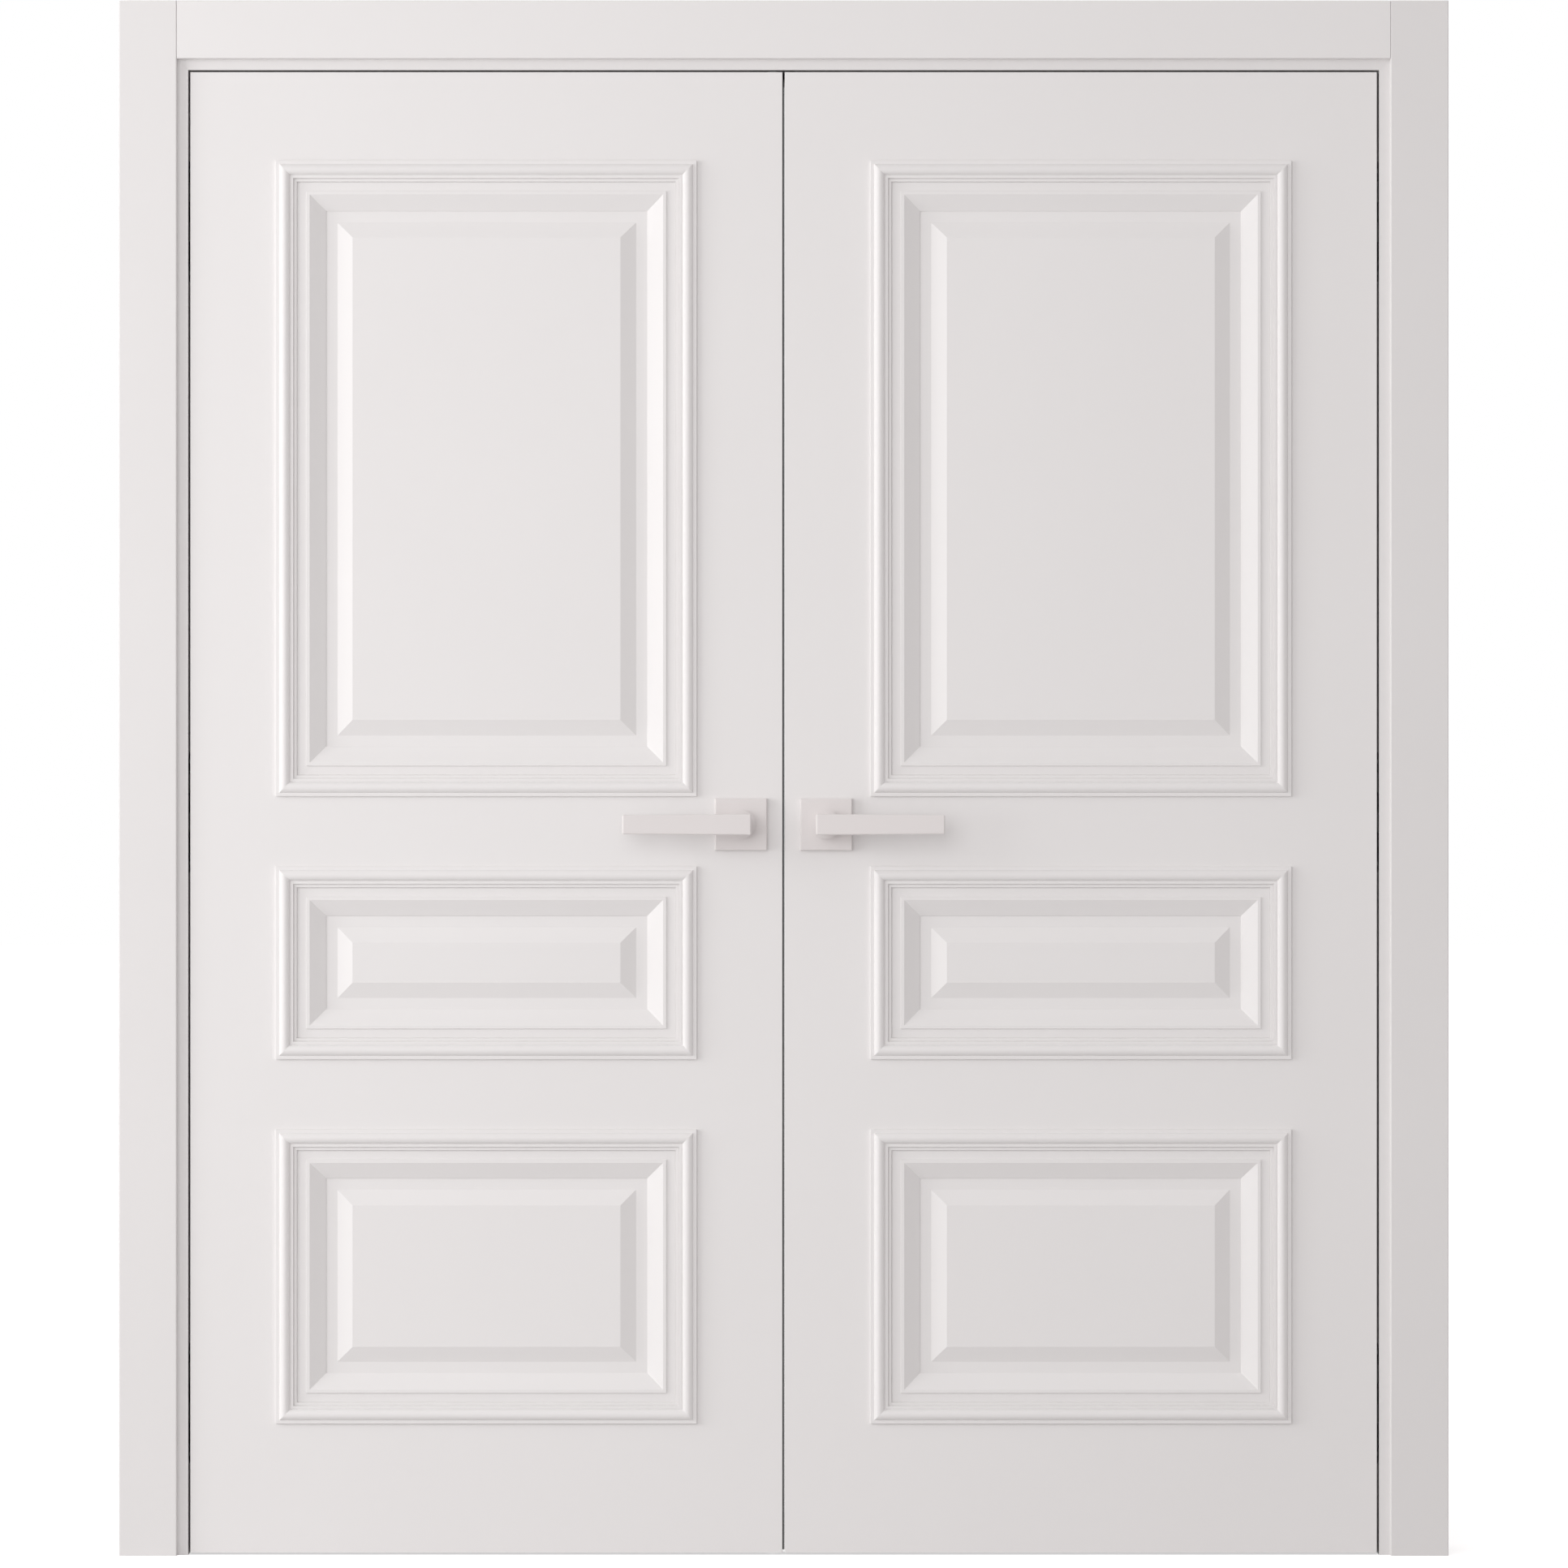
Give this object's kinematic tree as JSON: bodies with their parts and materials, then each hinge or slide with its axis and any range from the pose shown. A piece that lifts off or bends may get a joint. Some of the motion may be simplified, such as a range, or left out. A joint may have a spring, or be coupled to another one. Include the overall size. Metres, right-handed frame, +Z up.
{
  "type": "interior double door",
  "caption": "White interior double doors with raised panels, bolection mouldings, square lever handles, concealed hinges and a rebated frame with flat casings.",
  "frame": {"origin": "on the floor, at the middle of the doorway's width and of the whole depth over the handles and the back casing", "axes": "+Z up, +X to the right seen from the front, -Y towards the viewer, the side the leaves open to"},
  "size_m": [1.794, 0.169, 2.0985],
  "materials": {
    "enamel_wood": "satin",
    "enamel_moulding": "satin",
    "raw_wood": "matte",
    "white_metal": "satin",
    "hinge_metal": "satin",
    "steel": "satin",
    "seal_rubber": "matte",
    "latch_plastic": "matte"
  },
  "bodies": {
    "frame": {"jamb_left": "enamel_wood", "jamb_right": "enamel_wood", "head_jamb": "enamel_wood", "front_casing_left": "enamel_wood", "front_casing_right": "enamel_wood", "front_casing_head": "enamel_wood", "back_casing_left": "enamel_wood", "back_casing_right": "enamel_wood", "back_casing_head": "enamel_wood", "frame_stops": "enamel_wood", "frame_seals": "seal_rubber", "head_keep": "steel", "hinge_frame_cups": "hinge_metal", "frame_screws": "steel"},
    "left_leaf": {"left_hinge_stile": "enamel_wood", "left_lock_stile": "enamel_wood", "left_rails": "enamel_wood", "left_dowels": "raw_wood", "left_upper_panel": "enamel_wood", "left_middle_panel": "enamel_wood", "left_lower_panel": "enamel_wood", "left_front_mouldings": "enamel_moulding", "left_back_mouldings": "enamel_moulding", "left_hinge_leaf_cups": "hinge_metal", "left_front_rose": "white_metal", "left_back_rose": "white_metal", "left_meeting_seal": "seal_rubber", "left_screws": "steel", "strike_plate": "steel", "bolt_plates": "steel"},
    "right_leaf": {"right_hinge_stile": "enamel_wood", "right_lock_stile": "enamel_wood", "right_rails": "enamel_wood", "right_dowels": "raw_wood", "right_upper_panel": "enamel_wood", "right_middle_panel": "enamel_wood", "right_lower_panel": "enamel_wood", "right_front_mouldings": "enamel_moulding", "right_back_mouldings": "enamel_moulding", "right_hinge_leaf_cups": "hinge_metal", "right_front_rose": "white_metal", "right_back_rose": "white_metal", "right_meeting_seal": "seal_rubber", "right_screws": "steel", "lock_case": "steel", "lock_forend": "steel"},
    "left_frame_arms": {"left_hinge_frame_arms": "hinge_metal"},
    "right_frame_arms": {"right_hinge_frame_arms": "hinge_metal"},
    "left_leaf_arms": {"left_hinge_leaf_arms": "hinge_metal"},
    "right_leaf_arms": {"right_hinge_leaf_arms": "hinge_metal"},
    "left_handle": {"left_front_lever": "white_metal", "left_back_lever": "white_metal", "left_spindle": "steel"},
    "right_handle": {"right_front_lever": "white_metal", "right_back_lever": "white_metal", "right_spindle": "steel", "lock_follower": "steel"},
    "latch": {"latch_bolt": "latch_plastic"},
    "top_bolt": {"top_bolt": "steel"},
    "bottom_bolt": {"bottom_bolt": "steel"}
  },
  "joints": [
    {"name": "left_leaf_swing", "type": "hinge", "parent": "frame", "child": "left_leaf", "pos_m": [-0.803, -0.0255, 0], "axis": [0, 0, -1], "range_deg": [0, 100]},
    {"name": "left_frame_arm_swing", "type": "hinge", "parent": "frame", "child": "left_frame_arms", "pos_m": [-0.809, -0.0115, 0], "axis": [0, 0, -1], "range_deg": [0, 85]},
    {"name": "left_leaf_arm_swing", "type": "hinge", "parent": "left_leaf", "child": "left_leaf_arms", "pos_m": [-0.797, -0.0115, 0], "axis": [0, 0, -1], "range_deg": [-85, 0]},
    {"name": "left_lever_turn", "type": "hinge", "parent": "left_leaf", "child": "left_handle", "pos_m": [-0.0575, -0.0055, 0.987], "axis": [0, -1, 0], "range_deg": [0, 40], "stiffness_Nm_per_rad": 1.6, "springref_deg": -28.65},
    {"name": "right_leaf_swing", "type": "hinge", "parent": "frame", "child": "right_leaf", "pos_m": [0.803, -0.0255, 0], "axis": [0, 0, 1], "range_deg": [0, 100]},
    {"name": "right_frame_arm_swing", "type": "hinge", "parent": "frame", "child": "right_frame_arms", "pos_m": [0.809, -0.0115, 0], "axis": [0, 0, 1], "range_deg": [0, 85]},
    {"name": "right_leaf_arm_swing", "type": "hinge", "parent": "right_leaf", "child": "right_leaf_arms", "pos_m": [0.797, -0.0115, 0], "axis": [0, 0, 1], "range_deg": [-85, 0]},
    {"name": "right_lever_turn", "type": "hinge", "parent": "right_leaf", "child": "right_handle", "pos_m": [0.0575, -0.0055, 0.987], "axis": [0, 1, 0], "range_deg": [0, 40], "stiffness_Nm_per_rad": 1.6, "springref_deg": -28.65},
    {"name": "latch_slide", "type": "slide", "parent": "right_leaf", "child": "latch", "axis": [-1, 0, 0], "range_m": [0, 0.01], "stiffness_N_per_m": 60, "springref_m": -0.004},
    {"name": "top_bolt_slide", "type": "slide", "parent": "left_leaf", "child": "top_bolt", "axis": [0, 0, 1], "range_m": [0, 0.012]},
    {"name": "bottom_bolt_slide", "type": "slide", "parent": "left_leaf", "child": "bottom_bolt", "axis": [0, 0, -1], "range_m": [0, 0.012]}
  ],
  "couplings": [
    {"joint": "left_frame_arm_swing", "follows": "left_leaf_swing", "ratio": 0.84},
    {"joint": "left_leaf_arm_swing", "follows": "left_leaf_swing", "ratio": -0.84},
    {"joint": "right_frame_arm_swing", "follows": "right_leaf_swing", "ratio": 0.84},
    {"joint": "right_leaf_arm_swing", "follows": "right_leaf_swing", "ratio": -0.84}
  ]
}
